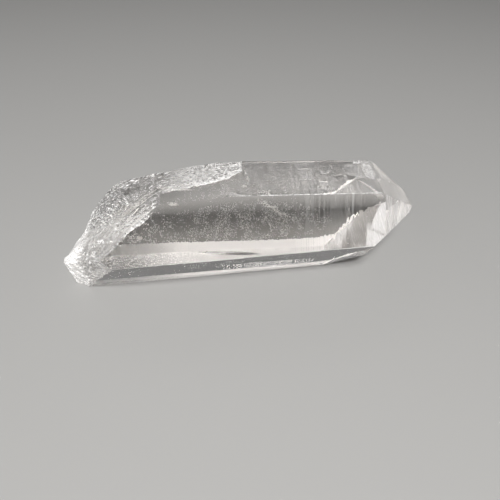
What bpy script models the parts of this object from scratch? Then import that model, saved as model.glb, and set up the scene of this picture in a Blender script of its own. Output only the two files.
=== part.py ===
# Long clear quartz crystal lying on a side face, pointed at +X and broken off at -X.
# The crystal's length runs along X and it rests on a flat side face at z = 0.
import math

import bmesh
import bpy
import numpy as np
from mathutils import Matrix, Vector, noise

mm = 0.001

# The crystal axis runs along X at this height and side offset, in mm.
axisY = -1.6
axisZ = 9.8

# Side faces: direction they look in round the axis, in degrees from the front,
# how far they lean in toward the point, and distance from the axis, in mm.
sideFaces = {
    "top": (90.0, 2.75, 9.20),
    "frontUp": (30.0, 1.20, 8.93),
    "frontDown": (-30.0, 1.36, 8.62),
    "bottom": (-90.0, 0.0, 9.80),
    "backDown": (-150.0, 1.30, 8.67),
    "backUp": (150.0, 1.29, 8.79),
}

# Point faces: where each would meet the axis, in mm. Quartz sets their lean.
pointLean = 51.79
pointFaces = {
    "top": 32.10,
    "frontUp": 32.70,
    "frontDown": 30.60,
    "bottom": 26.50,
    "backDown": 31.50,
    "backUp": 33.95,
}

# The block that the faces are cut from, in mm.
blockStart = -36.0
blockEnd = 45.0
blockWidth = 60.0

# The boxes that cut steps and pits reach past the crystal by these, in mm.
stepCutWidth = 30.0
stepCutHeight = 6.0
pitCutHeight = 2.0

# Growth steps: side face, where the step starts along X, and its depth, in mm.
growthSteps = (
    ("frontUp", -9.5, 0.03),
    ("frontUp", 6.8, 0.04),
    ("frontUp", 13.4, 0.04),
    ("frontUp", 18.6, 0.04),
    ("frontDown", -2.0, 0.05),
    ("frontDown", 11.2, 0.06),
    ("backUp", 4.0, 0.06),
    ("backUp", 15.5, 0.06),
    ("backDown", -12.0, 0.10),
    ("backDown", 8.5, 0.08),
)

# Etch pits on the top face: x, y, length, width and depth, in mm.
etchPits = (
    (9.6, -0.9, 2.3, 3.1, 0.09),
    (13.1, -0.4, 1.5, 0.7, 0.10),
    (12.2, -3.6, 1.3, 1.1, 0.12),
    (18.5, 0.2, 2.9, 3.4, 0.07),
)

# Height of the sloping break at stations along X, in mm, on four lines across it.
# It starts as a shallow rough ledge on the top face and ends low at the back.
breakLines = (6.0, 0.0, -5.0, -9.0)
breakStations = (
    (-36.0, -1.6, 1.2, 4.0, 4.3),
    (-33.6, 0.9, 3.8, 5.8, 5.9),
    (-31.8, 3.6, 5.9, 7.1, 6.9),
    (-30.9, 5.8, 6.8, 7.7, 7.4),
    (-29.2, 7.9, 8.3, 9.0, 8.6),
    (-26.7, 10.3, 10.7, 10.9, 10.4),
    (-25.0, 12.0, 12.1, 12.1, 11.6),
    (-23.2, 13.4, 13.4, 13.5, 12.9),
    (-20.5, 14.3, 14.9, 15.4, 14.7),
    (-18.0, 15.4, 16.5, 17.4, 16.2),
    (-16.4, 15.7, 17.4, 18.6, 16.9),
    (-15.2, 16.1, 17.8, 19.3, 17.6),
    (-14.6, 16.2, 17.9, 19.72, 17.9),
    (-12.2, 16.9, 18.4, 19.62, 18.0),
    (-9.7, 17.8, 18.7, 19.49, 18.1),
    (-8.0, 17.9, 18.85, 19.42, 18.3),
    (-5.6, 18.85, 19.06, 19.30, 18.6),
    (-1.3, 18.85, 18.97, 19.16, 19.0),
    (-0.7, 19.5, 19.5, 19.5, 19.4),
    (4.0, 20.0, 20.0, 20.0, 20.0),
)
breakSheet = {
    "middle": (-18.7, -1.5),
    "size": (42.6, 29.0),
    "cell": 0.52,
    "pull": 30.0,
}

# The torn surface of the break, in mm: ribs run up the slope and slightly across
# it, wander and fade, and one patch above its middle is smoother than the rest.
breakRelief = {
    "ribPitch": 2.1,
    "ribHeight": 0.42,
    "ribSkew": 0.42,
    "ribCrest": 0.42,
    "ribWander": 1.5,
    "tornHeight": 0.30,
    "grainHeight": 0.16,
    "slopeStart": -11.0,
    "slopeBlend": 6.0,
    "patchMiddle": (-19.5, -4.3),
    "patchReach": (4.0, 2.6),
    "patchCalm": 0.8,
}

# The two chips that finish the broken end: a point on each, the direction
# it looks in, its size and its ribs, in mm.
endChips = (
    {"at": (-29.3, -8.27, 5.1), "look": (-0.466, -0.871, -0.157), "rib": 0.20, "pitch": 2.3, "seed": 3.1},
    {"at": (-33.5, -2.0, 3.0), "look": (-0.993, -0.071, -0.099), "rib": 0.24, "pitch": 1.9, "seed": 8.4},
)
chipSheet = {
    "size": (34.0, 30.0),
    "cell": 0.62,
    "pull": 26.0,
    "tornHeight": 0.22,
    "ribCrest": 0.40,
    "ribWander": 1.4,
}


def lookDirection(angle):
    turn = math.radians(angle)
    return Vector((0.0, -math.cos(turn), math.sin(turn)))


def sideNormal(angle, lean):
    tilt = math.radians(lean)
    return (Vector((math.sin(tilt), 0.0, 0.0)) + lookDirection(angle) * math.cos(tilt)).normalized()


def pointNormal(angle):
    tilt = math.radians(pointLean)
    return (Vector((math.cos(tilt), 0.0, 0.0)) + lookDirection(angle) * math.sin(tilt)).normalized()


def faceAxes(angle, lean):
    normal = sideNormal(angle, lean)
    along = (Vector((1.0, 0.0, 0.0)) - normal * normal.x).normalized()
    return along, normal.cross(along).normalized(), normal


def newCollection(name):
    group = bpy.data.collections.new(name)
    bpy.context.scene.collection.children.link(group)
    return group


def meshObject(name, shape, group):
    data = bpy.data.meshes.new(name)
    shape.to_mesh(data)
    shape.free()
    thing = bpy.data.objects.new(name, data)
    group.objects.link(thing)
    return thing


def makeCrystalBody(name, group):
    axis = Vector((0.0, axisY, axisZ))
    planes = []
    for angle, lean, distance in sideFaces.values():
        planes.append((axis + lookDirection(angle) * distance, sideNormal(angle, lean)))
    for face, reach in pointFaces.items():
        planes.append((axis + Vector((reach, 0.0, 0.0)), pointNormal(sideFaces[face][0])))
    shape = bmesh.new()
    bmesh.ops.create_cube(shape, size=1.0)
    size = Matrix.Diagonal((blockEnd - blockStart, blockWidth, blockWidth, 1.0))
    place = Matrix.Translation(((blockStart + blockEnd) / 2, 0.0, 0.0))
    bmesh.ops.transform(shape, matrix=place @ size, verts=shape.verts)
    for at, normal in planes:
        everything = shape.verts[:] + shape.edges[:] + shape.faces[:]
        bmesh.ops.bisect_plane(shape, geom=everything, dist=1e-5, plane_co=at, plane_no=normal, clear_outer=True)
        rim = [edge for edge in shape.edges if edge.is_boundary]
        bmesh.ops.holes_fill(shape, edges=rim, sides=0)
    bmesh.ops.recalc_face_normals(shape, faces=shape.faces)
    bmesh.ops.scale(shape, vec=(mm, mm, mm), verts=shape.verts)
    return meshObject(name, shape, group)


def makeBox(name, centre, axes, size, group):
    shape = bmesh.new()
    bmesh.ops.create_cube(shape, size=1.0)
    grow = Matrix.Diagonal((size[0], size[1], size[2], 1.0))
    turn = Matrix((axes[0], axes[1], axes[2])).transposed().to_4x4()
    place = Matrix.Translation(centre) @ turn @ grow
    bmesh.ops.transform(shape, matrix=Matrix.Scale(mm, 4) @ place, verts=shape.verts)
    bmesh.ops.recalc_face_normals(shape, faces=shape.faces)
    return meshObject(name, shape, group)


# A growth step lowers a side face from its start to the point of the crystal.
def makeStepCutters(group):
    cutters = []
    depths = {}
    for face, start, depth in growthSteps:
        angle, lean, distance = sideFaces[face]
        depths[face] = depths.get(face, 0.0) + depth
        along, across, normal = faceAxes(angle, lean)
        length = blockEnd - start
        onFace = Vector((0.0, axisY, axisZ)) + lookDirection(angle) * distance
        centre = onFace + along * (start / along.x + length / 2) + normal * (stepCutHeight / 2 - depths[face])
        size = (length, stepCutWidth, stepCutHeight)
        cutters.append(makeBox("step_" + face, centre, (along, across, normal), size, group))
    return cutters


def makePitCutters(group):
    angle, lean, distance = sideFaces["top"]
    along, across, normal = faceAxes(angle, lean)
    onFace = Vector((0.0, axisY, axisZ)) + lookDirection(angle) * distance
    cutters = []
    for x, y, length, width, depth in etchPits:
        centre = onFace + along * (x / along.x) + across * (y - axisY) + normal * (pitCutHeight / 2 - depth)
        size = (length, width, pitCutHeight)
        cutters.append(makeBox("pit", centre, (along, across, normal), size, group))
    return cutters


def smooth(value):
    value = min(max(value, 0.0), 1.0)
    return value * value * (3 - 2 * value)


def breakHeight(x, y):
    stations = np.array(breakStations)
    heights = [np.interp(x, stations[:, 0], stations[:, line + 1]) for line in range(len(breakLines))]
    if y > breakLines[0]:
        return heights[0] + (heights[0] - heights[1]) * (y - breakLines[0]) / (breakLines[0] - breakLines[1])
    if y < breakLines[-1]:
        return heights[-1] + (heights[-1] - heights[-2]) * (breakLines[-1] - y) / (breakLines[-2] - breakLines[-1])
    return np.interp(y, breakLines[::-1], heights[::-1])


# Height of a saw-edged rib at a place across it, from about -0.5 to 0.6.
def ribShape(place, crest):
    return abs((place % 1.0) - crest) * 1.9 - 0.5


def breakRoughness(x, y):
    look = breakRelief
    along = x + look["ribSkew"] * y
    across = y - look["ribSkew"] * x
    wander = noise.noise(Vector((along * 0.11, across * 0.16, 2.7))) * look["ribWander"]
    rib = ribShape((across + wander) / look["ribPitch"], look["ribCrest"])
    strength = 0.45 + 0.55 * noise.noise(Vector((along * 0.13, across * 0.22, 9.1)))
    torn = noise.noise(Vector((along * 0.30, across * 0.95, 5.3)))
    grain = noise.noise(Vector((x * 1.15, y * 1.15, 1.9)))
    slope = smooth((look["slopeStart"] - x) / look["slopeBlend"])
    farX = (x - look["patchMiddle"][0]) / look["patchReach"][0]
    farY = (y - look["patchMiddle"][1]) / look["patchReach"][1]
    calm = 1.0 - look["patchCalm"] * math.exp(-farX * farX - farY * farY)
    ribs = slope * (look["ribHeight"] * rib * strength + look["tornHeight"] * torn)
    return calm * (ribs + look["grainHeight"] * grain * (0.35 + 0.65 * slope))


def chipRoughness(chip, u, v):
    wander = noise.noise(Vector((u * 0.2, v * 0.2, chip["seed"]))) * chipSheet["ribWander"]
    rib = ribShape((u * 0.8 + v * 0.6 + wander) / chip["pitch"], chipSheet["ribCrest"])
    torn = noise.noise(Vector((u * 0.6, v * 0.6, chip["seed"] + 4.0)))
    return chip["rib"] * rib + chipSheet["tornHeight"] * torn


def makeGrid(size, cell):
    shape = bmesh.new()
    columns = int(round(size[0] / cell))
    rows = int(round(size[1] / cell))
    bmesh.ops.create_grid(shape, x_segments=columns, y_segments=rows, size=0.5)
    bmesh.ops.scale(shape, vec=(size[0], size[1], 1.0), verts=shape.verts)
    bmesh.ops.triangulate(shape, faces=shape.faces)
    return shape


# Closes a wavy sheet into a solid by pulling a copy of it outward.
def makeSheetCutter(name, shape, pull, group):
    lid = bmesh.ops.extrude_face_region(shape, geom=shape.faces[:])
    moved = [part for part in lid["geom"] if isinstance(part, bmesh.types.BMVert)]
    bmesh.ops.translate(shape, vec=pull, verts=moved)
    bmesh.ops.recalc_face_normals(shape, faces=shape.faces)
    bmesh.ops.scale(shape, vec=(mm, mm, mm), verts=shape.verts)
    return meshObject(name, shape, group)


def makeBreakCutter(group):
    shape = makeGrid(breakSheet["size"], breakSheet["cell"])
    for vertex in shape.verts:
        x = vertex.co.x + breakSheet["middle"][0]
        y = vertex.co.y + breakSheet["middle"][1]
        vertex.co = Vector((x, y, breakHeight(x, y) + breakRoughness(x, y)))
    return makeSheetCutter("break_slope", shape, Vector((0.0, 0.0, breakSheet["pull"])), group)


def makeChipCutter(chip, group):
    look = Vector(chip["look"]).normalized()
    side = Vector((0.0, 0.0, 1.0)).cross(look).normalized()
    rise = look.cross(side)
    shape = makeGrid(chipSheet["size"], chipSheet["cell"])
    for vertex in shape.verts:
        u = vertex.co.x
        v = vertex.co.y
        vertex.co = Vector(chip["at"]) + side * u + rise * v + look * chipRoughness(chip, u, v)
    return makeSheetCutter("break_chip", shape, look * chipSheet["pull"], group)


def cutAway(target, cutters):
    for cutter in cutters:
        cut = target.modifiers.new("cut", "BOOLEAN")
        cut.operation = "DIFFERENCE"
        cut.solver = "EXACT"
        cut.object = cutter
        bpy.context.view_layer.objects.active = target
        bpy.ops.object.modifier_apply(modifier=cut.name)


def centreOnBase(thing):
    corners = np.array([vertex.co[:] for vertex in thing.data.vertices])
    low = corners.min(axis=0)
    high = corners.max(axis=0)
    shift = Vector((-(low[0] + high[0]) / 2, -(low[1] + high[1]) / 2, 0.0))
    thing.data.transform(Matrix.Translation(shift))
    print("moved by mm", [round(part / mm, 3) for part in shift])


def quartzMaterial():
    look = bpy.data.materials.new("clear_quartz")
    look.use_nodes = True
    surface = look.node_tree.nodes["Principled BSDF"]
    surface.inputs["Base Color"].default_value = (0.86, 0.85, 0.83, 1.0)
    surface.inputs["Roughness"].default_value = 0.06
    surface.inputs["Metallic"].default_value = 0.0
    return look


for old in list(bpy.data.objects):
    bpy.data.objects.remove(old)

partGroup = newCollection("herkimer_diamond")
cutGroup = newCollection("cutters")

crystal = makeCrystalBody("quartz_crystal", partGroup)
cutters = makeStepCutters(cutGroup)
cutters += makePitCutters(cutGroup)
for chip in endChips:
    cutters.append(makeChipCutter(chip, cutGroup))
cutters.append(makeBreakCutter(cutGroup))
cutAway(crystal, cutters)
centreOnBase(crystal)
crystal.data.materials.clear()
crystal.data.materials.append(quartzMaterial())
for cutter in cutters:
    cutter.hide_render = True
    cutter.display_type = "WIRE"
print("faces", len(crystal.data.polygons))
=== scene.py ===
import math
import random

import bmesh
import bpy
import numpy as np
from mathutils import Matrix, Vector, noise


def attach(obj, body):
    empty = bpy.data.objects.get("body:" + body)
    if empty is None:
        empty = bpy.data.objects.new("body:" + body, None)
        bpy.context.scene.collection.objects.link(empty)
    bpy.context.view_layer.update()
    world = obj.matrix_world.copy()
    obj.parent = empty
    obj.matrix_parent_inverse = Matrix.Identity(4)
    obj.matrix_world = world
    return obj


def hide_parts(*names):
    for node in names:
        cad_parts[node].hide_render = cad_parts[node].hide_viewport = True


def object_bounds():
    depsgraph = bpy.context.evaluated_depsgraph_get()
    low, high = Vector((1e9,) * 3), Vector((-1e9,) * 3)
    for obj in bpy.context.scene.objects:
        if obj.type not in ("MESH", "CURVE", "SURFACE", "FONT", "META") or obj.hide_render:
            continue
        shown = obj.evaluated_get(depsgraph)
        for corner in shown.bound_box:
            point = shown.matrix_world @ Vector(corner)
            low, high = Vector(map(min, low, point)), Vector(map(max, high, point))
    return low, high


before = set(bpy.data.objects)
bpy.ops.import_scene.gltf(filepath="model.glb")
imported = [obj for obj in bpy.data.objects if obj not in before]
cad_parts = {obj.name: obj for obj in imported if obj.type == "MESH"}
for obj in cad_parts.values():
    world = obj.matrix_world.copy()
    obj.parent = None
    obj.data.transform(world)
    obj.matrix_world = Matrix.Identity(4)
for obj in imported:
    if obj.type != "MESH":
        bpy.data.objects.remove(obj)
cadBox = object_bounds()

mm = 0.001
print("frame loaded")

# Everything on the crystal is worked out in mm about its own growth axis, then
# moved by this much onto the CAD solid, whose origin is the middle of its base.
crystalShift = Vector((2.319, 1.579, 0.0))


# A place along one axis of the crystal, in mm, as metres in the scene.
def sceneAt(place, axis="X"):
    return (place + crystalShift["XYZ".index(axis)]) * mm


# Colours and nodes

def hexColour(code, alpha=1.0):
    parts = [int(code[i:i + 2], 16) / 255 for i in (1, 3, 5)]
    linear = [c / 12.92 if c <= 0.04045 else ((c + 0.055) / 1.055) ** 2.4 for c in parts]
    return (*linear, alpha)


# The kinds of node and the settings that come back most.
noiseTexture = "ShaderNodeTexNoise"
mapping = "ShaderNodeMapping"
mapRange = "ShaderNodeMapRange"
maths = "ShaderNodeMath"
vectorMaths = "ShaderNodeVectorMath"
combine = "ShaderNodeCombineXYZ"
randomValue = "FunctionNodeRandomValue"
times = {"operation": "MULTIPLY"}
timesPlus = {"operation": "MULTIPLY_ADD"}
plus = {"operation": "ADD"}
minus = {"operation": "SUBTRACT"}
isMore = {"operation": "GREATER_THAN"}


# Adds a node, sets its properties and values, and links sockets given as (node, output).
# An underscore in a socket's name is a space, i3 is the input at place 3, and From and
# To each take both ends of a range.
def addNode(tree, kind, settings=None, **inputs):
    node = tree.nodes.new(kind)
    for name, value in (settings or {}).items():
        setattr(node, name, value)
    for name, value in inputs.items():
        if name in ("From", "To"):
            node.inputs[name + " Min"].default_value = value[0]
            node.inputs[name + " Max"].default_value = value[1]
            continue
        key = int(name[1:]) if name[0] == "i" and name[1:].isdigit() else name.replace("_", " ")
        socket = node.inputs[key]
        if isinstance(value, tuple) and len(value) == 2 and isinstance(value[0], bpy.types.Node):
            tree.links.new(value[0].outputs[value[1]], socket)
        else:
            socket.default_value = value
    return node


def newMaterial(name):
    material = bpy.data.materials.new(name)
    material.use_nodes = True
    tree = material.node_tree
    tree.nodes.clear()
    output = tree.nodes.new("ShaderNodeOutputMaterial")
    return material, tree, output


def perMetre(size):
    return 1.0 / (size * mm)


# Materials

# Natural quartz: water clear, IOR 1.544, with growth faces as smooth as polished glass.
quartz = {
    "body": "#FDFBF9",
    "ior": 1.544,
    "absorbTint": "#E7E1DB",
    "absorbPerMetre": 9.0,
    # Roughness of a clean face, and what full frost adds.
    "polish": 0.015,
    "frostRoughness": 0.45,
    # Noise patterns: size in mm, detail and roughness.
    "patterns": {
        "cloud": (2.6, 6.0, 0.62),
        "blotch": (0.55, 5.0, 0.75),
        "speck": (0.34, 2.0, 0.5),
        "splinter": (0.42, 5.0, 0.6),
        # This pattern places the painted glints on the break.
        "glintSpots": (0.24, 2.0, 0.6),
        "crumb": (0.38, 3.0, 0.6),
        "grain": (0.25, 4.0, 0.5),
    },
    # These two lie along the ribs of the break: turn in degrees, and how drawn out.
    "alongRibs": ("splinter", "glintSpots"),
    "ribTurn": -23.0,
    "ribStretch": 0.26,
    # Patterns that run across the length: width and length in mm, and detail.
    "across": {
        "teeth": (0.35, 50 / 3, 3.0),
        "lines": (0.15, 25.0, 2.0),
    },
    # Which part of a pattern counts, and what it becomes.
    "levels": {
        "milky": ("cloud", (0.34, 0.60), (0.92, 1.0)),  # how white a fully etched face is
        "mottle": ("blotch", (0.38, 0.62), (0.30, 2.1)),  # how many times as etched the top is
        "holes": ("speck", (0.36, 0.50), (0.0, 1.0)),  # clear specks in the frost
        "jags": ("teeth", (0.3, 0.7), (-1.0, 1.0)),  # the upper end of the frost on the back
        "patchy": ("splinter", (0.48, 0.66), (0.02, 0.28)),  # white splinters of the break
        "paintedGlints": ("glintSpots", (0.55, 0.65), (0.0, 0.75)),  # painted glints: white specks standing in for glints of light between them
        "crumbled": ("crumb", (0.40, 0.58), (0.04, 0.48)),  # white crumbs of the ledge
        "tornRough": ("splinter", (0.38, 0.62), (0.04, 0.30)),  # roughness of the break
        "paintedHairlines": ("lines", (0.52, 0.64), (0.0, 0.11)),  # pale hairlines painted where growth lines catch the light
    },
    # Ramps over the crystal: axis, start and end in mm, and what they become.
    "ramps": {
        "jagHeight": ("X", (10.0, 18.0), (0.10 * mm, 0.30 * mm)),
        "nearTop": ("Z", (16.6, 17.6), (0.0, 1.0)),  # only the top face is mottled
        "pastLedge": ("X", (-6.0, 0.0), (0.0, 1.0)),  # and only past the ledge
        "nearBreak": ("X", (-8.0, -23.0), (0.0, 1.0)),  # the specks are near the break
        "onLedge": ("X", (-15.0, -11.0), (0.0, 1.0)),
        "atTip": ("X", (-28.6, -31.6), (0.0, 0.40)),  # the broken tip is whiter
        "nearPoint": ("X", (6.0, 10.0), (0.0, 1.0)),  # growth lines show towards the point
    },
    "softRamps": ("onLedge", "atTip"),
    # How far the frost climbs the back of the crystal: x and height, and how sharply
    # it ends there, in mm.
    "hem": ((-30.0, 1.9), (-9.0, 1.7), (0.0, 1.55), (9.4, 1.5), (13.5, 1.7), (16.2, 2.3),
            (18.2, 3.9), (20.1, 5.2), (22.0, 5.8), (22.9, 6.5), (24.7, 8.3), (32.0, 9.0)),
    "hemBlur": 0.12,
    # A long clear lens in the frost underneath: middle, turn, half sizes, how soft its
    # edge is and how much frost is left in it.
    "lensMiddle": (-4.4, 1.9, 0.0),
    "lensTurn": -8.8,
    "lensSize": (6.6, 0.62, 2.0),
    "lensEdge": 0.3,
    "lensFrost": 0.1,
    # Bumps too fine for the mesh: strength, and height in mm.
    "lineBump": (0.35, 0.004),
    "grainBump": (0.45, 0.05),
}


# Grown quartz: mirror smooth and see-through where it is clear, with fine lines across
# its length, milky where it was etched, and glassy to whitish splinters where it broke.
def grownQuartz():
    look = quartz
    material, tree, output = newMaterial("natural_clear_quartz")
    place = addNode(tree, "ShaderNodeTexCoord")
    along = addNode(tree, "ShaderNodeSeparateXYZ", Vector=(place, "Object"))
    torn = addNode(tree, "ShaderNodeAttribute", {"attribute_name": "torn"})
    # The frost mark holds the real etching and also the painted highlight of the edge flats.
    frost = addNode(tree, "ShaderNodeAttribute", {"attribute_name": "frost"})
    hem = addNode(tree, "ShaderNodeAttribute", {"attribute_name": "hem"})
    # The patterns, their levels and the ramps.
    ribbed = addNode(tree, mapping, Vector=(place, "Object"),
                     Rotation=(0.0, 0.0, math.radians(look["ribTurn"])),
                     Scale=(look["ribStretch"], 1.0, 1.0))
    pattern = {}
    for name, (size, detail, roughness) in look["patterns"].items():
        where = (ribbed, "Vector") if name in look["alongRibs"] else (place, "Object")
        pattern[name] = addNode(tree, noiseTexture, Vector=where, Scale=perMetre(size),
                                Detail=detail, Roughness=roughness)
    for name, (width, length, detail) in look["across"].items():
        drawn = addNode(tree, mapping, Vector=(place, "Object"),
                        Scale=(perMetre(width), perMetre(length), perMetre(length)))
        pattern[name] = addNode(tree, noiseTexture, Vector=(drawn, "Vector"), Scale=1.0,
                                Detail=detail)
    level = {}
    for name, (source, counts, becomes) in look["levels"].items():
        level[name] = addNode(tree, mapRange, Value=(pattern[source], "Fac"), From=counts,
                              To=becomes)
    ramp = {}
    for name, (axis, ends, becomes) in look["ramps"].items():
        form = "SMOOTHSTEP" if name in look["softRamps"] else "LINEAR"
        ramp[name] = addNode(tree, mapRange, {"interpolation_type": form}, Value=(along, axis),
                             From=[sceneAt(end, axis) for end in ends], To=becomes)
    # The faces' own frost, with the painted highlight of the edge flats, and its clear lens left
    # out.
    centre = (Vector(look["lensMiddle"]) + crystalShift) * mm
    lensPlace = addNode(tree, mapping, {"vector_type": "TEXTURE"}, Vector=(place, "Object"),
                        Location=centre, Rotation=(0.0, 0.0, math.radians(look["lensTurn"])),
                        Scale=Vector(look["lensSize"]) * mm)
    lens = addNode(tree, "ShaderNodeTexGradient", {"gradient_type": "SPHERICAL"},
                   Vector=(lensPlace, "Vector"))
    offLens = addNode(tree, mapRange, Value=(lens, "Fac"), From=(0.0, look["lensEdge"]),
                      To=(1.0, look["lensFrost"]))
    under = addNode(tree, maths, times, i0=(frost, "Fac"), i1=(offLens, "Result"))
    # Where the frost climbs the back: below a curve along X, jagged as growth lines are.
    first, last = look["hem"][0][0], look["hem"][-1][0]
    tallest = max(height for x, height in look["hem"])
    runs = addNode(tree, mapRange, Value=(along, "X"), From=(sceneAt(first), sceneAt(last)))
    climb = addNode(tree, "ShaderNodeFloatCurve", Value=(runs, "Result"))
    curve = climb.mapping.curves[0]
    for x, height in look["hem"][1:-1]:
        curve.points.new((x - first) / (last - first), height / tallest)
    curve.points[0].location = (0.0, look["hem"][0][1] / tallest)
    curve.points[-1].location = (1.0, look["hem"][-1][1] / tallest)
    climb.mapping.update()
    jag = addNode(tree, maths, times, i0=(level["jags"], "Result"),
                  i1=(ramp["jagHeight"], "Result"))
    height = addNode(tree, maths, timesPlus, i0=(climb, "Value"), i1=tallest * mm,
                     i2=(jag, "Value"))
    above = addNode(tree, maths, minus, i0=(height, "Value"), i1=(along, "Z"))
    covered = addNode(tree, mapRange, Value=(above, "Value"), From=(0.0, look["hemBlur"] * mm))
    climbed = addNode(tree, maths, times, i0=(hem, "Fac"), i1=(covered, "Result"))
    # The top face is etched unevenly.
    onTop = addNode(tree, maths, times, i0=(ramp["nearTop"], "Result"),
                    i1=(ramp["pastLedge"], "Result"))
    mottled = addNode(tree, "ShaderNodeMix", {"data_type": "FLOAT"}, i0=(onTop, "Value"),
                      i2=1.0, i3=(level["mottle"], "Result"))
    etched = addNode(tree, maths, times, i0=(under, "Value"), i1=(mottled, 0))
    frosted = addNode(tree, maths, {"operation": "MAXIMUM"}, i0=(etched, "Value"),
                      i1=(climbed, "Value"))
    # Specks of clear quartz in the frost near the break.
    pierced = addNode(tree, maths, times, i0=(level["holes"], "Result"),
                      i1=(ramp["nearBreak"], "Result"))
    solid = addNode(tree, maths, minus, i0=(level["milky"], "Result"), i1=(pierced, "Value"))
    white = addNode(tree, maths, times, i0=(frosted, "Value"), i1=(solid, "Value"))
    # Break: splintered streaks over glassy quartz with painted glints, white specks standing in
    # for glints of light, then the crumbled ledge, and the tip.
    splintersAndGlints = addNode(tree, maths, plus, i0=(level["patchy"], "Result"),
                     i1=(level["paintedGlints"], "Result"))
    chosen = addNode(tree, "ShaderNodeMix", {"data_type": "FLOAT"}, i0=(ramp["onLedge"], "Result"),
                     i2=(splintersAndGlints, "Value"), i3=(level["crumbled"], "Result"))
    both = addNode(tree, maths, plus, i0=(chosen, 0), i1=(ramp["atTip"], "Result"))
    tornWhite = addNode(tree, maths, times, i0=(torn, "Fac"), i1=(both, "Value"))
    anyWhite = addNode(tree, maths, plus, i0=(white, "Value"), i1=(tornWhite, "Value"))
    # Pale hairlines are painted where growth lines catch the light, towards the point: a painted
    # highlight.
    lined = addNode(tree, maths, times, i0=(level["paintedHairlines"], "Result"),
                    i1=(ramp["nearPoint"], "Result"))
    allWhite = addNode(tree, maths, plus, i0=(anyWhite, "Value"), i1=(lined, "Value"))
    passes = addNode(tree, maths, {"operation": "SUBTRACT", "use_clamp": True}, i0=1.0,
                     i1=(allWhite, "Value"))
    # Roughness of each finish.
    breakRough = addNode(tree, maths, times, i0=(torn, "Fac"),
                         i1=(level["tornRough"], "Result"))
    rough = addNode(tree, maths, timesPlus, i0=(frosted, "Value"), i1=look["frostRoughness"],
                    i2=(breakRough, "Value"))
    finish = addNode(tree, maths, plus, i0=(rough, "Value"), i1=look["polish"])
    # Lines across grown faces, and fine grain on the break.
    lineBump = addNode(tree, "ShaderNodeBump", Strength=look["lineBump"][0],
                       Distance=look["lineBump"][1] * mm, Height=(pattern["lines"], "Fac"))
    grainHeight = addNode(tree, maths, times, i0=(pattern["grain"], "Fac"), i1=(torn, "Fac"))
    grainBump = addNode(tree, "ShaderNodeBump", Strength=look["grainBump"][0],
                        Distance=look["grainBump"][1] * mm, Height=(grainHeight, "Value"),
                        Normal=(lineBump, "Normal"))
    surface = addNode(tree, "ShaderNodeBsdfPrincipled", Base_Color=hexColour(look["body"]),
                      Roughness=(finish, "Value"), IOR=look["ior"],
                      Transmission_Weight=(passes, "Value"), Normal=(grainBump, "Normal"))
    tree.links.new(surface.outputs["BSDF"], output.inputs["Surface"])
    depth = addNode(tree, "ShaderNodeVolumeAbsorption", Color=hexColour(look["absorbTint"]),
                    Density=look["absorbPerMetre"])
    tree.links.new(depth.outputs["Volume"], output.inputs["Volume"])
    return material


# Two shades of the films, in clouds of this size, with the IOR of water.
film = {
    "shades": ("#E8E3DE", "#FFFFFF"),
    "cloudMm": 0.9,
    "cloudDetail": 3.0,
    "roughness": 0.35,
    "ior": 1.33,
}


# Healed cracks and trapped fluid in quartz: tiny flat films that look white.
def healedCrackFilm():
    material, tree, output = newMaterial("white_fluid_films_in_quartz")
    place = addNode(tree, "ShaderNodeTexCoord")
    cloud = addNode(tree, noiseTexture, Vector=(place, "Object"),
                    Scale=perMetre(film["cloudMm"]), Detail=film["cloudDetail"])
    shade = addNode(tree, "ShaderNodeMix", {"data_type": "RGBA"}, i0=(cloud, "Fac"),
                    i6=hexColour(film["shades"][0]), i7=hexColour(film["shades"][1]))
    surface = addNode(tree, "ShaderNodeBsdfPrincipled", Base_Color=(shade, 2),
                      Roughness=film["roughness"], IOR=film["ior"])
    tree.links.new(surface.outputs["BSDF"], output.inputs["Surface"])
    return material


quartzMaterial = grownQuartz()
filmMaterial = healedCrackFilm()
print("materials made")


# The crystal

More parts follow.
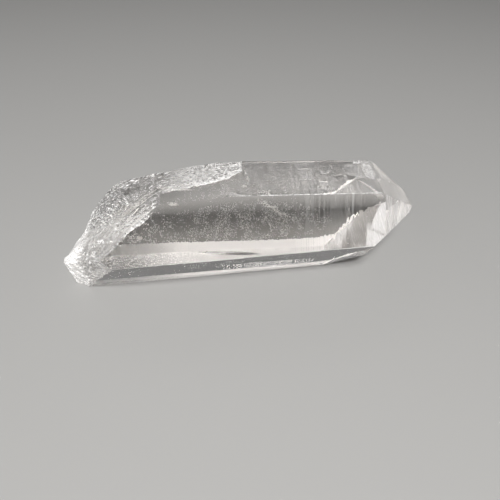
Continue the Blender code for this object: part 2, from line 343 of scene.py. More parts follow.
crystal = {
    "axisY": -1.6,
    "axisZ": 9.8,
    "start": -36.0,
    "end": 34.0,
    # Side faces: name, direction round the axis, lean, distance from the axis, height of
    # the fine growth lines across them in mm, and how etched they are, 0 to 1.
    "sides": (
        ("top", 90.0, 2.75, 9.20, 0.0012, 0.085),
        ("frontUp", 30.0, 1.20, 8.93, 0.0070, 0.0),
        ("frontDown", -30.0, 1.36, 8.62, 0.0050, 0.0),
        ("bottom", -90.0, 0.0, 9.80, 0.0, 1.0),
        ("backDown", -150.0, 1.30, 8.67, 0.0040, 0.0),
        ("backUp", 150.0, 1.29, 8.79, 0.0040, 0.0),
    ),
    # The point: how far its faces lean from the length, where each would meet the axis,
    # how etched they are, and how far a face looks along X to be one of them.
    "pointLean": 51.79,
    "pointReach": {"top": 32.10, "frontUp": 32.70, "frontDown": 30.60,
                   "bottom": 26.50, "backDown": 31.50, "backUp": 33.95},
    "pointFrost": {"bottom": 0.14, "frontUp": 0.24, "top": 0.16, "frontDown": 0.14},
    "pointFacing": 0.4,
    # Growth lines: spacing, how unequal they are, and how deep they are in shallow
    # patches and beyond, with the patches' noise.
    "lineSpacing": (0.16, 0.42),
    "lineVaries": (0.0, 2.0),
    "linePatch": (0.25, 1.5),
    "patchNoise": (0.16, 1.0, 0.5),
    # Where the growth lines are deep: face, from, to, how many times deeper, and blend.
    "deepLines": ("frontUp", 9.0, 21.0, 2.5, 2.0),
    # The narrow flats along the edges, and how pale the upper, the lower front and the lower back
    # ones are painted: a painted highlight along the rims. A flat looks this far away from its
    # side, and an upper one this far up.
    "edgeWidth": 0.09,
    "edgeFacing": 0.93,
    "edgeUp": 0.3,
    "edgeHighlight": (0.25, 0.44, 0.16),
    # Growth steps: face, where it starts and how far it lowers the face.
    "steps": (
        ("frontUp", -9.5, 0.03), ("frontUp", 6.8, 0.04), ("frontUp", 13.4, 0.04),
        ("frontUp", 18.6, 0.04), ("frontDown", -2.0, 0.05), ("frontDown", 11.2, 0.06),
        ("backUp", 4.0, 0.06), ("backUp", 15.5, 0.06), ("backDown", -12.0, 0.10),
        ("backDown", 8.5, 0.08),
    ),
    "seed": 11,
}

# Etch pits on the top face: middle, length, width and depth, in mm, and groups of
# small ones as a region, columns and rows, and ranges of length, width and depth.
etching = {
    "pits": (
        (9.6, -0.9, 2.3, 3.1, 0.09), (13.1, -0.4, 1.5, 0.7, 0.10),
        (12.2, -3.6, 1.3, 1.1, 0.12), (18.5, 0.2, 2.9, 3.4, 0.07),
    ),
    # Wide shallow patches of the top face: the same sizes, with a turn in degrees
    # and how etched each is.
    "patches": (
        (15.45, 0.35, 5.9, 5.2, 0.02, -13.3, 0.05),
        (20.2, 0.25, 3.5, 5.2, 0.03, -13.3, 0.22),
    ),
    "pitFrost": 0.13,
    "groups": (
        ((10.9, 12.6), (-5.2, -4.4), 3, 3, (0.20, 0.50), (0.08, 0.20), (0.04, 0.10)),
        ((13.9, 16.4), (-2.2, -1.1), 4, 2, (0.25, 0.60), (0.10, 0.30), (0.03, 0.07)),
        ((14.4, 17.2), (-6.0, -4.4), 5, 2, (0.10, 0.22), (0.35, 0.72), (0.04, 0.08)),
        ((2.0, 8.0), (-4.8, 1.6), 7, 8, (0.06, 0.34), (0.05, 0.20), (0.02, 0.06)),
    ),
    # How much of its cell a small pit may fill, and how much it may reach.
    "cellFill": 0.8,
    "cellReach": 0.85,
    "cutterHeight": 2.0,
    "seed": 5,
}

# The break: heights at stations along X on four lines across it, and its ribs. Each
# noise has its rates per mm along and across the ribs, and a seed.
broken = {
    "lines": (6.0, 0.0, -5.0, -9.0),
    "stations": (
        (-36.0, -1.6, 1.2, 4.0, 4.3),
        (-33.6, 0.9, 3.8, 5.8, 5.9),
        (-31.8, 3.6, 5.9, 7.1, 6.9),
        (-30.9, 5.8, 6.8, 7.7, 7.4),
        (-29.2, 7.9, 8.3, 9.0, 8.6),
        (-26.7, 10.3, 10.7, 10.9, 10.4),
        (-25.0, 12.0, 12.1, 12.1, 11.6),
        (-23.2, 13.4, 13.4, 13.5, 12.9),
        (-20.5, 14.3, 14.9, 15.4, 14.7),
        (-18.0, 15.4, 16.5, 17.4, 16.2),
        (-16.4, 15.7, 17.4, 18.6, 16.9),
        (-15.2, 16.1, 17.8, 19.3, 17.6),
        (-14.6, 16.2, 17.9, 19.72, 17.9),
        (-12.2, 16.9, 18.4, 19.62, 18.0),
        (-9.7, 17.8, 18.7, 19.49, 18.1),
        (-8.0, 17.9, 18.85, 19.42, 18.3),
        (-5.6, 18.85, 19.06, 19.30, 18.6),
        (-1.3, 18.85, 18.97, 19.16, 19.0),
        (-0.7, 19.5, 19.5, 19.5, 19.4),
        (4.0, 20.0, 20.0, 20.0, 20.0),
    ),
    "middle": (-18.7, -1.5),
    "size": (42.6, 29.0),
    "cell": 0.18,
    "top": 30.0,
    # Ribs: spacing, height, skew, where their crest is, and their steepness and level.
    "ribPitch": 2.1,
    "ribHeight": 0.42,
    "ribSkew": 0.42,
    "ribCrest": 0.42,
    "ribForm": (1.9, 0.5),
    # How far they wander, and how strong they are: on average, and how unequally.
    "ribWander": 1.5,
    "wanderNoise": (0.11, 0.16, 2.7),
    "ribStrength": (0.45, 0.55),
    "strengthNoise": (0.13, 0.22, 9.1),
    "tornHeight": 0.30,
    "tornNoise": (0.30, 0.95, 5.3),
    # Grain, and how much of it the ledge has and the slope has more.
    "grainHeight": 0.16,
    "grainNoise": (1.15, 1.15, 1.9),
    "grainShare": (0.35, 0.65),
    "slopeStart": -11.0,
    "slopeBlend": 6.0,
    # Glassy patches: middle, reach and how calm each is.
    "patches": (
        ((-19.5, -4.3), (4.0, 2.6), 0.8), ((-20.0, 2.6), (4.2, 2.4), 0.6),
        ((-23.6, -9.6), (2.2, 1.4), 0.6),
    ),
    # Only in this finer piece: hackle lines, and the crumbly ledge with its front
    # edge, past which the face is smooth.
    "hackleHeight": 0.22,
    "hackleLevel": 0.2,
    "hackleNoise": (0.45, 3.2, 7.7),
    "crumbHeight": 0.14,
    "crumbSize": 0.42,
    "crumbLevel": 0.45,
    "ledgeDrop": 0.14,
    "rimWhite": 0.8,
    "rimWidth": 1.0,
    "rimStart": -12.0,
    "rimBlend": 4.0,
    "ledgeEdge": (
        (-15.3, -5.45), (-14.1, -5.23), (-12.6, -4.75), (-10.7, -4.01), (-9.1, -3.52),
        (-7.5, -3.02), (-5.5, -2.39), (-3.5, -1.46), (-1.2, 0.51), (-1.0, 2.31),
    ),
    "edgeWander": 0.5,
    "edgeNoise": (0.9, 1.0, 6.1),
    "edgeBlend": 0.2,
}

# Chips at the low end: a place on each, the way it faces, its ribs and its seed.
chips = {
    "each": (
        {"at": (-29.3, -8.27, 5.1), "look": (-0.466, -0.871, -0.157),
         "rib": 0.20, "pitch": 2.3, "seed": 3.1},
        {"at": (-33.5, -2.0, 3.0), "look": (-0.993, -0.071, -0.099),
         "rib": 0.24, "pitch": 1.9, "seed": 8.4},
    ),
    "size": (34.0, 30.0),
    "cell": 0.26,
    "pull": 26.0,
    "ribCrest": 0.40,
    "ribTurn": (0.8, 0.6),
    # Height in mm and rate per mm of each noise.
    "wander": (1.4, 0.2),
    "torn": (0.22, 0.6),
    "crumb": (0.09, 2.2),
    "tornSeed": 4.0,
}


def roundAxis(angle):
    turn = math.radians(angle)
    return Vector((0.0, -math.cos(turn), math.sin(turn)))


# Marks every face of a shape: broken, etched, and whether frost climbs it from below.
def markFaces(shape, marksOf):
    layers = [shape.faces.layers.float.new(name) for name in ("torn", "frost", "hem")]
    for face in shape.faces:
        for layer, value in zip(layers, marksOf(face)):
            face[layer] = value


def finishShape(name, shape, material):
    data = bpy.data.meshes.new(name)
    shape.to_mesh(data)
    shape.free()
    data.materials.append(material)
    thing = bpy.data.objects.new(name, data)
    bpy.context.scene.collection.objects.link(thing)
    return thing


def smoothStep(value):
    value = min(max(value, 0.0), 1.0)
    return value * value * (3 - 2 * value)


# Smooth noise at a place, with its rates per mm both ways and a seed.
def noiseAt(u, v, rates):
    return noise.noise(Vector((u * rates[0], v * rates[1], rates[2])))


# How far growth steps have lowered a side face at x.
def stepDepth(face, x):
    return sum(depth for name, start, depth in crystal["steps"] if name == face and x > start)


# How many times deeper than usual a face's growth lines are at x.
def lineDepth(face, x):
    deepFace, start, end, deeper, blend = crystal["deepLines"]
    if face != deepFace:
        return 1.0
    return 1.0 + (deeper - 1.0) * smoothStep((x - start) / blend) * smoothStep((end - x) / blend)


# The side faces as rings, close enough to carry the growth lines, with each of the
# six corners cut by a narrow flat.
def makeRings():
    rng = random.Random(crystal["seed"])
    stops = [crystal["start"]]
    while stops[-1] < crystal["end"]:
        stops.append(stops[-1] + rng.uniform(*crystal["lineSpacing"]))
    shallow, beyond = crystal["linePatch"]
    rings = []
    for x in stops:
        reach = []
        for face, angle, lean, distance, lines, frost in crystal["sides"]:
            out = roundAxis(angle)
            middle = out.y * crystal["axisY"] + out.z * crystal["axisZ"]
            patch = shallow + beyond * abs(noiseAt(x, angle, crystal["patchNoise"]))
            line = -lines * patch * rng.uniform(*crystal["lineVaries"]) * lineDepth(face, x)
            leaned = middle + distance - x * math.tan(math.radians(lean))
            reach.append(leaned - stepDepth(face, x) + line)
        corners = []
        for i in range(6):
            after = (i + 1) % 6
            a = roundAxis(crystal["sides"][i][1])
            b = roundAxis(crystal["sides"][after][1])
            whole = a.y * b.z - a.z * b.y
            y = (reach[i] * b.z - reach[after] * a.z) / whole
            z = (a.y * reach[after] - b.y * reach[i]) / whole
            corners.append(Vector((x, y, z)))
        cut = []
        for i, corner in enumerate(corners):
            for other in (corners[i - 1], corners[(i + 1) % 6]):
                cut.append(corner + (other - corner).normalized() * crystal["edgeWidth"])
        rings.append(cut)
    return rings


# A grown face's marks, from the side that it belongs to. The narrow flats along the edges are
# painted paler, a painted highlight along the rims.
def grownMarks(face):
    nearest = max(crystal["sides"], key=lambda side: face.normal.dot(roundAxis(side[1])))
    hem = 1.0 if nearest[0] == "backDown" else 0.0
    if face.normal.x > crystal["pointFacing"]:
        return 0.0, crystal["pointFrost"].get(nearest[0], 0.0), hem
    frost = nearest[5]
    # Painted highlight: the edge flats get frost so that they show paler, like bright rims.
    if face.normal.dot(roundAxis(nearest[1])) < crystal["edgeFacing"]:
        upper, front, back = crystal["edgeHighlight"]
        lower = front if face.normal.y < 0.0 else back
        frost = max(frost, upper if face.normal.z > crystal["edgeUp"] else lower)
    return 0.0, frost, hem


# The break's marks: broken everywhere but on the smooth strip, less on glassy patches
# and more along the ledge's front edge.
def breakMarks(face):
    middle = face.calc_center_median()
    if smoothStrip(middle.x, middle.y) > 0.5:
        return 0.0, crystal["sides"][0][5], 0.0
    return unrest(middle.x, middle.y) * (1 + rimWhite(middle.x, middle.y)), 0.0, 0.0


def makeBody():
    shape = bmesh.new()
    rows = [[shape.verts.new(corner) for corner in ring] for ring in makeRings()]
    for near, far in zip(rows, rows[1:]):
        for i in range(len(near)):
            j = (i + 1) % len(near)
            shape.faces.new((near[i], near[j], far[j], far[i]))
    shape.faces.new(rows[0])
    shape.faces.new(rows[-1])
    axis = Vector((0.0, crystal["axisY"], crystal["axisZ"]))
    lean = math.radians(crystal["pointLean"])
    for face, angle, *rest in crystal["sides"]:
        at = axis + Vector((crystal["pointReach"][face], 0.0, 0.0))
        normal = Vector((math.cos(lean), 0.0, 0.0)) + roundAxis(angle) * math.sin(lean)
        everything = shape.verts[:] + shape.edges[:] + shape.faces[:]
        bmesh.ops.bisect_plane(shape, geom=everything, dist=1e-6, plane_co=at, plane_no=normal,
                               clear_outer=True)
        rim = [edge for edge in shape.edges if edge.is_boundary]
        bmesh.ops.holes_fill(shape, edges=rim, sides=0)
    bmesh.ops.recalc_face_normals(shape, faces=shape.faces)
    shape.normal_update()
    markFaces(shape, grownMarks)
    return finishShape("crystal_body", shape, quartzMaterial)


stationTable = np.array(broken["stations"])
lineTable = np.array(broken["lines"][::-1])
edgeTable = np.array(broken["ledgeEdge"])


def breakHeight(x, y):
    heights = [np.interp(x, stationTable[:, 0], stationTable[:, i + 1]) for i in range(4)]
    lines = broken["lines"]
    if y > lines[0]:
        return heights[0] + (heights[0] - heights[1]) * (y - lines[0]) / (lines[0] - lines[1])
    if y < lines[3]:
        return heights[3] + (heights[3] - heights[2]) * (lines[3] - y) / (lines[2] - lines[3])
    return np.interp(y, lineTable, heights[::-1])


# Where the ledge's ragged front edge runs at x.
def ledgeFront(x):
    edge = np.interp(x, edgeTable[:, 0], edgeTable[:, 1])
    return edge + broken["edgeWander"] * noiseAt(x, 0.0, broken["edgeNoise"])


# 1 on the smooth strip in front of the ledge, 0 on the ledge and the slope.
def smoothStrip(x, y):
    if x < edgeTable[0, 0]:
        return 0.0
    return smoothStep((ledgeFront(x) - y) / broken["edgeBlend"])


# How much whiter the ledge is along its front edge, where it crumbled most.
def rimWhite(x, y):
    away = (y - ledgeFront(x)) / broken["rimWidth"]
    along = smoothStep((x - broken["rimStart"]) / broken["rimBlend"])
    return broken["rimWhite"] * along * math.exp(-away * away)


def ribShape(place, crest):
    steepness, level = broken["ribForm"]
    return abs((place % 1.0) - crest) * steepness - level


# 1 on the rough break, less on its glassy patches.
def unrest(x, y):
    left = 1.0
    for (middleX, middleY), (reachX, reachY), calm in broken["patches"]:
        farX = (x - middleX) / reachX
        farY = (y - middleY) / reachY
        left *= 1.0 - calm * math.exp(-farX * farX - farY * farY)
    return left


def breakRoughness(x, y):
    look = broken
    along = x + look["ribSkew"] * y
    across = y - look["ribSkew"] * x
    wander = noiseAt(along, across, look["wanderNoise"]) * look["ribWander"]
    rib = ribShape((across + wander) / look["ribPitch"], look["ribCrest"])
    usual, unequal = look["ribStrength"]
    strength = usual + unequal * noiseAt(along, across, look["strengthNoise"])
    torn = noiseAt(along, across, look["tornNoise"])
    grain = noiseAt(x, y, look["grainNoise"])
    slope = smoothStep((look["slopeStart"] - x) / look["slopeBlend"])
    calm = unrest(x, y)
    ribs = slope * (look["ribHeight"] * rib * strength + look["tornHeight"] * torn)
    everywhere, onSlope = look["grainShare"]
    coarse = calm * (ribs + look["grainHeight"] * grain * (everywhere + onSlope * slope))
    # Fine hackle follows the ribs, and the ledge crumbles into small flat-sided bits.
    hackle = abs(noiseAt(along, across + wander, look["hackleNoise"])) - look["hackleLevel"]
    near = noise.voronoi(Vector((x, y, 0.0)) / look["crumbSize"])[0]
    crumb = look["crumbHeight"] * (near[1] - near[0] - look["crumbLevel"]) - look["ledgeDrop"]
    fine = slope * look["hackleHeight"] * hackle + (1 - slope) * crumb
    return (coarse + calm * fine) * (1 - smoothStrip(x, y))


def chipRoughness(chip, u, v):
    seed = chip["seed"]
    wanderFar, wanderRate = chips["wander"]
    tornHeight, tornRate = chips["torn"]
    crumbHeight, crumbRate = chips["crumb"]
    wander = noiseAt(u, v, (wanderRate, wanderRate, seed)) * wanderFar
    across = u * chips["ribTurn"][0] + v * chips["ribTurn"][1] + wander
    rib = ribShape(across / chip["pitch"], chips["ribCrest"])
    torn = noiseAt(u, v, (tornRate, tornRate, seed + chips["tornSeed"]))
    fine = noiseAt(u, v, (crumbRate, crumbRate, seed))
    return chip["rib"] * rib + tornHeight * torn + crumbHeight * fine


def makeGrid(size, cell):
    shape = bmesh.new()
    columns = int(round(size[0] / cell))
    rows = int(round(size[1] / cell))
    bmesh.ops.create_grid(shape, x_segments=columns, y_segments=rows, size=0.5)
    bmesh.ops.scale(shape, vec=(size[0], size[1], 1.0), verts=shape.verts)
    bmesh.ops.triangulate(shape, faces=shape.faces)
    return shape


# Closes a wavy sheet into a solid with straight walls and one flat lid.
def closeSheet(name, shape, look, reach, marksOf):
    rim = [edge for edge in shape.edges if edge.is_boundary]
    walls = bmesh.ops.extrude_edge_only(shape, edges=rim)["geom"]
    for vertex in [part for part in walls if isinstance(part, bmesh.types.BMVert)]:
        vertex.co += look * (reach - vertex.co.dot(look))
    lid = [part for part in walls if isinstance(part, bmesh.types.BMEdge) and part.is_boundary]
    bmesh.ops.holes_fill(shape, edges=lid, sides=0)
    bmesh.ops.recalc_face_normals(shape, faces=shape.faces)
    markFaces(shape, marksOf)
    return finishShape(name, shape, quartzMaterial)


def makeBreakCutter():
    shape = makeGrid(broken["size"], broken["cell"])
    for vertex in shape.verts:
        x = vertex.co.x + broken["middle"][0]
        y = vertex.co.y + broken["middle"][1]
        vertex.co = Vector((x, y, breakHeight(x, y) + breakRoughness(x, y)))
    return closeSheet("break_slope", shape, Vector((0.0, 0.0, 1.0)), broken["top"], breakMarks)


def makeChipCutter(chip):
    look = Vector(chip["look"]).normalized()
    side = Vector((0.0, 0.0, 1.0)).cross(look).normalized()
    rise = look.cross(side)
    shape = makeGrid(chips["size"], chips["cell"])
    for vertex in shape.verts:
        u, v = vertex.co.x, vertex.co.y
        vertex.co = Vector(chip["at"]) + side * u + rise * v + look * chipRoughness(chip, u, v)
    reach = Vector(chip["at"]).dot(look) + chips["pull"]
    return closeSheet("break_chip", shape, look, reach, lambda face: (1.0, 0.0, 0.0))


# One cutter for pits that don't touch: boxes sunk into the top face.
def makePitCutter(pits, frost):
    face, facing, lean, distance, *rest = crystal["sides"][0]
    tilt = math.radians(lean)
    normal = Vector((math.sin(tilt), 0.0, math.cos(tilt)))
    along = Vector((math.cos(tilt), 0.0, -math.sin(tilt)))
    across = Vector((0.0, 1.0, 0.0))
    start = Vector((0.0, 0.0, crystal["axisZ"] + distance / math.cos(tilt)))
    turn = Matrix((along, across, normal)).transposed().to_4x4()
    tall = etching["cutterHeight"]
    shape = bmesh.new()
    for x, y, length, width, depth, angle in pits:
        centre = start + along * (x / along.x) + across * y + normal * (tall / 2 - depth)
        turned = turn @ Matrix.Rotation(math.radians(angle), 4, "Z")
        place = Matrix.Translation(centre) @ turned @ Matrix.Diagonal((length, width, tall, 1.0))
        bmesh.ops.create_cube(shape, size=1.0, matrix=place)
    markFaces(shape, lambda face: (0.0, frost, 0.0))
    return finishShape("etch_pits", shape, quartzMaterial)


# Small pits of a group, each kept to its own cell of the region.
def smallPits():
    rng = random.Random(etching["seed"])
    fill = etching["cellFill"]
    reach = etching["cellReach"]
    pits = []
    for (x0, x1), (y0, y1), columns, rows, lengths, widths, depths in etching["groups"]:
        stepX = (x1 - x0) / columns
        stepY = (y1 - y0) / rows
        for i in range(columns):
            for j in range(rows):
                length = min(rng.uniform(*lengths), stepX * fill)
                width = min(rng.uniform(*widths), stepY * fill)
                x = x0 + stepX * (i + 0.5) + rng.uniform(-0.5, 0.5) * (stepX * reach - length)
                y = y0 + stepY * (j + 0.5) + rng.uniform(-0.5, 0.5) * (stepY * reach - width)
                pits.append((x, y, length, width, rng.uniform(*depths), 0.0))
    return pits


def plainMesh(thing):
    depsgraph = bpy.context.evaluated_depsgraph_get()
    live = thing.evaluated_get(depsgraph)
    result = bpy.data.meshes.new_from_object(live, depsgraph=depsgraph)
    thing.modifiers.clear()
    thing.data = result


def cutAway(target, cutters):
    for cutter in cutters:
        cut = target.modifiers.new("cut", "BOOLEAN")
        cut.operation = "DIFFERENCE"
        cut.solver = "EXACT"
        cut.object = cutter
        plainMesh(target)
        bpy.data.objects.remove(cutter)


# Moves a finished shape from mm about the axis to its place on the CAD solid, and
# holds its finest bits inside the solid's own box.
def settle(thing, name):
    thing.data.transform(Matrix.Scale(mm, 4) @ Matrix.Translation(crystalShift))
    low, high = cadBox
    for vertex in thing.data.vertices:
        vertex.co = [min(max(vertex.co[i], low[i]), high[i]) for i in range(3)]
    thing.name = name
    thing.data.name = name


body = makeBody()
pitFrost = etching["pitFrost"]
cutters = [makePitCutter([pit + (0.0,)], pitFrost) for pit in etching["pits"]]
cutters += [makePitCutter([patch[:6]], patch[6]) for patch in etching["patches"]]
cutters.append(makePitCutter(smallPits(), pitFrost))
cutters += [makeChipCutter(chip) for chip in chips["each"]]
cutters.append(makeBreakCutter())
cutAway(body, cutters)
# The cutters' own slots hold the same quartz, so one slot is enough.
body.data.materials.clear()
body.data.materials.append(quartzMaterial)
for polygon in body.data.polygons:
    polygon.material_index = 0
print("crystal cut,", len(body.data.polygons), "faces")


# Flecks inside

# Healed cracks and dust in the crystal, in mm: layers of flat flecks.
inner = {
    # Each layer: its middle, its length and width directions, its size, how far it
    # waves, how many flecks are tried, their smallest and largest radius, how drawn out
    # they are, how far they tumble in radians, and the level of noise that leaves gaps.
    "layers": (
        # Fine dust just under the upper front face, and deeper behind it.
        ((-1.5, -8.2, 14.6), (1, 0, 0), (0, 0.5, 0.866), (30.0, 7.4, 0.5),
         0.1, 11000, (0.012, 0.05), 2.8, 3.1, 0.46),
        ((-3.0, 3.0, 6.6), (1, 0, 0), (0, 0.5, 0.866), (24.0, 7.0, 2.0),
         0.8, 1400, (0.02, 0.07), 2.6, 1.4, 0.48),
        # The healed crack in the middle, and its thin end.
        ((3.6, -4.2, 14.4), (5.5, -1.56, -2.84), (0.2, 0.9, -0.4), (6.6, 1.9, 0.6),
         0.9, 640, (0.02, 0.10), 1.6, 3.1, 0.44),
        ((2.9, -4.6, 11.2), (1.6, -1.7, -2.7), (0.2, 0.9, -0.4), (5.0, 0.5, 0.2),
         0.7, 90, (0.03, 0.07), 1.6, 3.1, 0.40),
        # A small cloud under the top face.
        ((12.87, -4.8, 17.9), (1, 0, 0), (0, 1, 0), (2.0, 1.3, 0.5),
         0.2, 200, (0.03, 0.09), 1.6, 3.1, 0.42),
        # The white crack near the point, and the knot at its front end.
        ((19.95, -4.5, 17.3), (2.7, -3.9, -0.4), (0.15, 0.5, -0.85), (4.9, 0.9, 0.10),
         0.12, 1500, (0.04, 0.12), 2.0, 0.5, 0.26),
        ((21.3, -6.2, 17.0), (1, -0.4, 0), (0, 0.8, -0.5), (1.3, 1.0, 0.8),
         0.2, 500, (0.04, 0.12), 1.3, 3.1, 0.32),
        # Along the end of the ledge, and white spots in front of it and of the break.
        ((-0.55, -0.9, 18.6), (0.1, -1, 0), (0.4, 0, 1), (7.2, 0.6, 0.16),
         0.5, 300, (0.04, 0.10), 1.6, 3.1, 0.42),
        ((-1.2, -3.8, 18.6), (1, 0.2, 0), (0, 1, 0), (1.0, 0.7, 0.4),
         0.2, 160, (0.04, 0.10), 1.3, 3.1, 0.30),
        ((-12.6, -6.6, 18.2), (1, -0.1, 0), (0, 0.8, -0.6), (1.7, 0.6, 0.5),
         0.2, 260, (0.04, 0.12), 1.3, 3.1, 0.30),
        ((-18.6, -9.2, 13.8), (1, 0, 0.3), (0, 0.5, 0.866), (1.0, 0.8, 0.5),
         0.1, 160, (0.04, 0.12), 1.3, 3.1, 0.30),
        # Under the break: thin in the depth, thick along the slope and the front face.
        ((-21.0, -1.6, 9.5), (1, 0, 0.35), (0, 1, 0), (24.0, 15.0, 8.0),
         1.4, 700, (0.03, 0.10), 1.8, 3.1, 0.54),
        ((-24.0, -3.4, 11.4), (12, 0, 9.4), (0, 1, 0), (19.0, 15.0, 3.4),
         0.6, 3000, (0.03, 0.12), 1.7, 3.1, 0.50),
        ((-17.0, -8.5, 13.9), (1, 0, 0.2), (0, 0.5, 0.866), (9.0, 7.6, 0.9),
         0.2, 1500, (0.03, 0.10), 1.8, 3.1, 0.47),
        # A little dust all through, and some low in the front near the break.
        ((4.0, -1.6, 10.0), (1, 0, 0), (0, 1, 0), (44.0, 15.0, 15.0),
         0.0, 420, (0.02, 0.06), 1.5, 3.1, 0.40),
        ((-15.0, -10.2, 12.2), (1, 0, 0), (0, 0.5, 0.866), (17.0, 4.0, 0.6),
         0.1, 900, (0.02, 0.07), 2.2, 3.1, 0.44),
    ),
    # How far under the surface the middle of every fleck stays, and how flat they are.
    "leastDepth": 0.17,
    "flatness": 0.4,
    # Noise of the waves and of the gaps: scale and detail, and what spreads the waves.
    "waveNoise": (0.35, 1.0),
    "waveGain": 4.0,
    "gapNoise": (0.55, 3.0),
    "rayLength": 60.0,
}


# Scatters flat flecks in a wavy layer, keeps those well inside the crystal and off the
# gaps of a noise pattern, and makes them real geometry.
def makeFleckTree():
    tree = bpy.data.node_groups.new("flecks_in_layer", "GeometryNodeTree")
    face = tree.interface
    face.new_socket("Geometry", in_out="INPUT", socket_type="NodeSocketGeometry")
    for name, kind in (
        ("Crystal", "Object"), ("Material", "Material"), ("Count", "Int"), ("Seed", "Int"),
        ("Size", "Vector"), ("Place", "Vector"), ("Turn", "Vector"), ("Wave", "Float"),
        ("Smallest", "Float"), ("Largest", "Float"), ("Stretch", "Float"), ("Tumble", "Float"),
        ("Gaps", "Float"), ("Least Depth", "Float"),
    ):
        face.new_socket(name, in_out="INPUT", socket_type="NodeSocket" + kind)
    face.new_socket("Geometry", in_out="OUTPUT", socket_type="NodeSocketGeometry")
    given = tree.nodes.new("NodeGroupInput")
    # Points at random in a box, cut to an egg and pushed off its middle by a slow wave.
    spread = addNode(tree, randomValue, {"data_type": "FLOAT_VECTOR"}, i0=(-0.5, -0.5, -0.5),
                     i1=(0.5, 0.5, 0.5), Seed=(given, "Seed"))
    inBox = addNode(tree, vectorMaths, times, i0=(spread, 0), i1=(given, "Size"))
    everywhere = addNode(tree, "GeometryNodePoints", Count=(given, "Count"),
                         Position=(inBox, "Vector"))
    here = addNode(tree, "GeometryNodeInputPosition")
    unit = addNode(tree, vectorMaths, {"operation": "DIVIDE"}, i0=(here, "Position"),
                   i1=(given, "Size"))
    reach = addNode(tree, vectorMaths, {"operation": "LENGTH"}, i0=(unit, "Vector"))
    corner = addNode(tree, maths, isMore, i0=(reach, "Value"), i1=0.5)
    points = addNode(tree, "GeometryNodeDeleteGeometry", {"domain": "POINT"},
                     Geometry=(everywhere, "Points"), Selection=(corner, "Value"))
    swell = addNode(tree, noiseTexture, Scale=inner["waveNoise"][0],
                    Detail=inner["waveNoise"][1])
    centred = addNode(tree, maths, minus, i0=(swell, "Fac"), i1=0.5)
    lift = addNode(tree, maths, times, i0=(centred, "Value"), i1=(given, "Wave"))
    raised = addNode(tree, maths, times, i0=(lift, "Value"), i1=inner["waveGain"])
    push = addNode(tree, combine, Z=(raised, "Value"))
    waved = addNode(tree, "GeometryNodeSetPosition", Geometry=(points, "Geometry"),
                    Offset=(push, "Vector"))
    turn = addNode(tree, "FunctionNodeEulerToRotation", Euler=(given, "Turn"))
    laid = addNode(tree, "GeometryNodeTransform", Geometry=(waved, "Geometry"),
                   Translation=(given, "Place"), Rotation=(turn, "Rotation"))
    # Inside: a ray straight up meets the crystal from within, and no face is close.
    target = addNode(tree, "GeometryNodeObjectInfo", Object=(given, "Crystal"))
    up = addNode(tree, "GeometryNodeRaycast", Target_Geometry=(target, "Geometry"),
                 Ray_Direction=(0.0, 0.0, 1.0), Ray_Length=inner["rayLength"])
    facing = addNode(tree, "ShaderNodeSeparateXYZ", Vector=(up, "Hit Normal"))
    outward = addNode(tree, maths, isMore, i0=(facing, "Z"), i1=0.0)
    near = addNode(tree, "GeometryNodeProximity", {"target_element": "FACES"},
                   i0=(target, "Geometry"))
    clear = addNode(tree, maths, isMore, i0=(near, "Distance"), i1=(given, "Least Depth"))
    inside = addNode(tree, maths, times, i0=(outward, "Value"), i1=(clear, "Value"))
    hit = addNode(tree, maths, times, i0=(inside, "Value"), i1=(up, "Is Hit"))
    clumps = addNode(tree, noiseTexture, Scale=inner["gapNoise"][0], Detail=inner["gapNoise"][1])
    dense = addNode(tree, maths, isMore, i0=(clumps, "Fac"), i1=(given, "Gaps"))
    kept = addNode(tree, maths, times, i0=(hit, "Value"), i1=(dense, "Value"))
    dropped = addNode(tree, maths, {"operation": "LESS_THAN"}, i0=(kept, "Value"), i1=0.5)
    left = addNode(tree, "GeometryNodeDeleteGeometry", {"domain": "POINT"},
                   Geometry=(laid, "Geometry"), Selection=(dropped, "Value"))
    # Flat flecks, longer one way, tumbled about their layer.
    fleck = addNode(tree, "GeometryNodeMeshIcoSphere", Radius=1.0, Subdivisions=1)
    size = addNode(tree, randomValue, {"data_type": "FLOAT"}, i2=(given, "Smallest"),
                   i3=(given, "Largest"), Seed=(given, "Seed"))
    form = addNode(tree, combine, X=(given, "Stretch"), Y=1.0, Z=inner["flatness"])
    scale = addNode(tree, vectorMaths, {"operation": "SCALE"}, i0=(form, "Vector"),
                    Scale=(size, 1))
    back = addNode(tree, maths, times, i0=(given, "Tumble"), i1=-1.0)
    least = addNode(tree, combine, X=(back, "Value"), Y=(back, "Value"), Z=(back, "Value"))
    most = addNode(tree, combine, X=(given, "Tumble"), Y=(given, "Tumble"), Z=(given, "Tumble"))
    tumble = addNode(tree, randomValue, {"data_type": "FLOAT_VECTOR"}, i0=(least, "Vector"),
                     i1=(most, "Vector"), Seed=(given, "Seed"))
    rolled = addNode(tree, "FunctionNodeEulerToRotation", Euler=(tumble, 0))
    placed = addNode(tree, "GeometryNodeInstanceOnPoints", Points=(left, "Geometry"),
                     Instance=(fleck, "Mesh"), Rotation=(rolled, "Rotation"),
                     Scale=(scale, "Vector"))
    real = addNode(tree, "GeometryNodeRealizeInstances", Geometry=(placed, "Instances"))
    painted = addNode(tree, "GeometryNodeSetMaterial", Geometry=(real, "Geometry"),
                      Material=(given, "Material"))
    addNode(tree, "NodeGroupOutput", Geometry=(painted, "Geometry"))
    return tree


def socketKey(tree, name):
    return next(item.identifier for item in tree.interface.items_tree
                if item.item_type == "SOCKET" and item.in_out == "INPUT" and item.name == name)


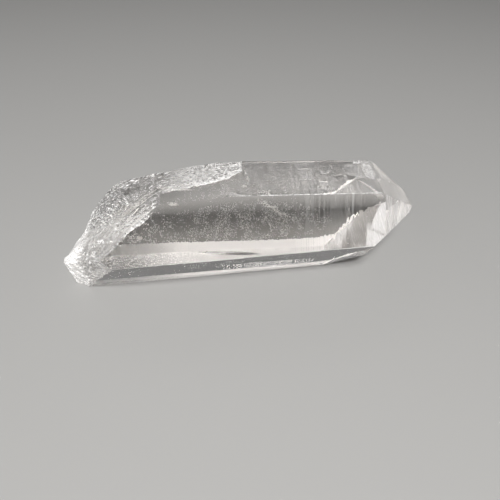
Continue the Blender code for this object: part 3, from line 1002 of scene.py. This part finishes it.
def makeLayer(tree, layer, number):
    middle, longWay, wideWay, size, wave, count, radii, stretch, tumble, gaps = layer
    thing = finishShape("layer_" + str(number), bmesh.new(), filmMaterial)
    along = Vector(longWay).normalized()
    across = Vector(wideWay)
    across = (across - along * across.dot(along)).normalized()
    turn = Matrix((along, across, along.cross(across))).transposed().to_euler()
    modifier = thing.modifiers.new("flecks", "NODES")
    modifier.node_group = tree
    values = {
        "Crystal": body, "Material": filmMaterial, "Count": count, "Seed": number,
        "Size": size, "Place": middle, "Turn": tuple(turn), "Wave": wave,
        "Smallest": radii[0], "Largest": radii[1], "Stretch": stretch, "Tumble": tumble,
        "Gaps": gaps, "Least Depth": inner["leastDepth"],
    }
    for name, value in values.items():
        modifier[socketKey(tree, name)] = value
    plainMesh(thing)
    return thing


fleckTree = makeFleckTree()
layers = [makeLayer(fleckTree, layer, number) for number, layer in enumerate(inner["layers"])]
allFlecks = bmesh.new()
for layer in layers:
    print("layer", layer.name, len(layer.data.polygons) // 20, "flecks")
    allFlecks.from_mesh(layer.data)
    bpy.data.objects.remove(layer)
flecks = finishShape("inner_flecks", allFlecks, filmMaterial)
print("flecks made,", len(flecks.data.polygons), "faces")

settle(body, "clear_quartz_crystal")
settle(flecks, "flecks_inside_crystal")

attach(body, "root")
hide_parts("quartz_crystal")
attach(flecks, "root")


# Floor, light and camera

studio = {
    "world": ("#E2E4E8", 0.10),
    # The floor: gap under the crystal in mm, half its width in metres, and its board.
    "floorGap": 0.03,
    "floorReach": 1.5,
    "board": "#878684",
    "boardRoughness": 0.85,
    # Softboxes: name, direction round from behind, height above the floor, distance,
    # width, height and power.
    "boxes": (
        ("front_key", 178.0, 59.0, 0.42, 0.09, 0.09, 3.1),
        ("left_panel", -84.0, 20.0, 0.40, 0.52, 0.27, 0.42),
        ("left_front_panel", -138.0, 25.0, 0.40, 0.34, 0.33, 0.39),
        ("back_strip", -4.0, 48.0, 0.40, 0.32, 0.085, 0.10),
    ),
}


# Matt painted board: even and pale, with no shine.
def paintedBoard():
    material, tree, output = newMaterial("pale_matt_board")
    surface = addNode(tree, "ShaderNodeBsdfPrincipled", Base_Color=hexColour(studio["board"]),
                      Roughness=studio["boardRoughness"])
    tree.links.new(surface.outputs["BSDF"], output.inputs["Surface"])
    return material


def addSoftbox(name, azimuth, elevation, distance, width, height, power):
    light = bpy.data.lights.new(name, "AREA")
    light.shape = "RECTANGLE"
    light.size = width
    light.size_y = height
    light.energy = power
    thing = bpy.data.objects.new(name, light)
    thing.visible_camera = False
    bpy.context.scene.collection.objects.link(thing)
    a, e = math.radians(azimuth), math.radians(elevation)
    toward = Vector((math.sin(a) * math.cos(e), math.cos(a) * math.cos(e), math.sin(e)))
    thing.location = toward * distance
    thing.rotation_euler = toward.to_track_quat("Z", "Y").to_euler()


for box in studio["boxes"]:
    addSoftbox(*box)

world = bpy.data.worlds.new("soft_room")
world.use_nodes = True
background = world.node_tree.nodes["Background"]
background.inputs["Color"].default_value = hexColour(studio["world"][0])
background.inputs["Strength"].default_value = studio["world"][1]
bpy.context.scene.world = world

floorShape = bmesh.new()
bmesh.ops.create_grid(floorShape, x_segments=1, y_segments=1, size=studio["floorReach"])
floorDrop = (0.0, 0.0, -studio["floorGap"] * mm)
bmesh.ops.translate(floorShape, vec=floorDrop, verts=floorShape.verts)
floor = finishShape("floor", floorShape, paintedBoard())

# The view: 45 degrees above the floor, a little from the left. All but the angles in mm.
view = {
    "azimuth": -5.3,
    "elevation": 45.3,
    "place": (-3.166, -59.308, 61.799),
    "lens": 31.03,
    "sensor": 36.0,
    "nearest": 1.0,
}
camera = bpy.data.objects.new("camera", bpy.data.cameras.new("camera"))
camera.data.lens = view["lens"]
camera.data.sensor_width = view["sensor"]
camera.data.clip_start = view["nearest"] * mm
camera.location = Vector(view["place"]) * mm
tilt = math.radians(90 - view["elevation"])
camera.rotation_euler = (tilt, 0.0, math.radians(view["azimuth"]))
bpy.context.scene.collection.objects.link(camera)
bpy.context.scene.camera = camera

# Light goes through many faces of the crystal before it comes out again.
cycles = bpy.context.scene.cycles
cycles.max_bounces = 24
cycles.transmission_bounces = 20
cycles.glossy_bounces = 12
cycles.diffuse_bounces = 4
cycles.caustics_refractive = True
cycles.caustics_reflective = True
cycles.blur_glossy = 0.5
cycles.use_denoising = True
bpy.context.scene.view_settings.view_transform = "Standard"
print("floor, light and camera set")
